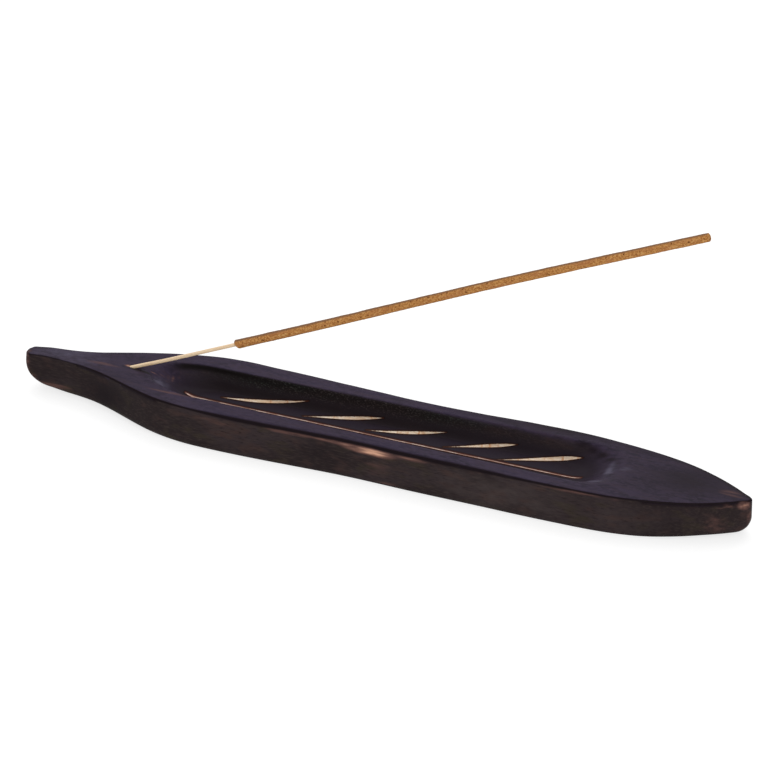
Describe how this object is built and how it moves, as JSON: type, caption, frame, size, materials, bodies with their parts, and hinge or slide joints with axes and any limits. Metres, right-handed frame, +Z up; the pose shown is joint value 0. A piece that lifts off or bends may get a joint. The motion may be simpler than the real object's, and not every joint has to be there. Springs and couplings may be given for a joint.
{
  "type": "incense stick holder",
  "caption": "Leaf-shaped carved wooden ash tray with a long trough and vein cuts; a slanted socket near the stem holds a leaning incense stick that pulls out.",
  "frame": {"origin": "middle of the tray's underside, on the table", "axes": "+X along the tray from stem to tip, +Y across it, +Z up"},
  "size_m": [0.25, 0.0364, 0.106],
  "materials": {
    "stained_wood": "dark stained, hand carved, waxed, cuts left bare",
    "bamboo": "split bamboo, bare",
    "incense": "rolled wood-powder paste, dry and grainy"
  },
  "bodies": {
    "holder": {"tray": "stained_wood"},
    "stick": {"bamboo_core": "bamboo", "incense_paste": "incense"}
  },
  "joints": [
    {"name": "stick_slide", "type": "slide", "parent": "holder", "child": "stick", "axis": [0.9063, 0, 0.4226], "range_m": [0, 0.03]}
  ]
}
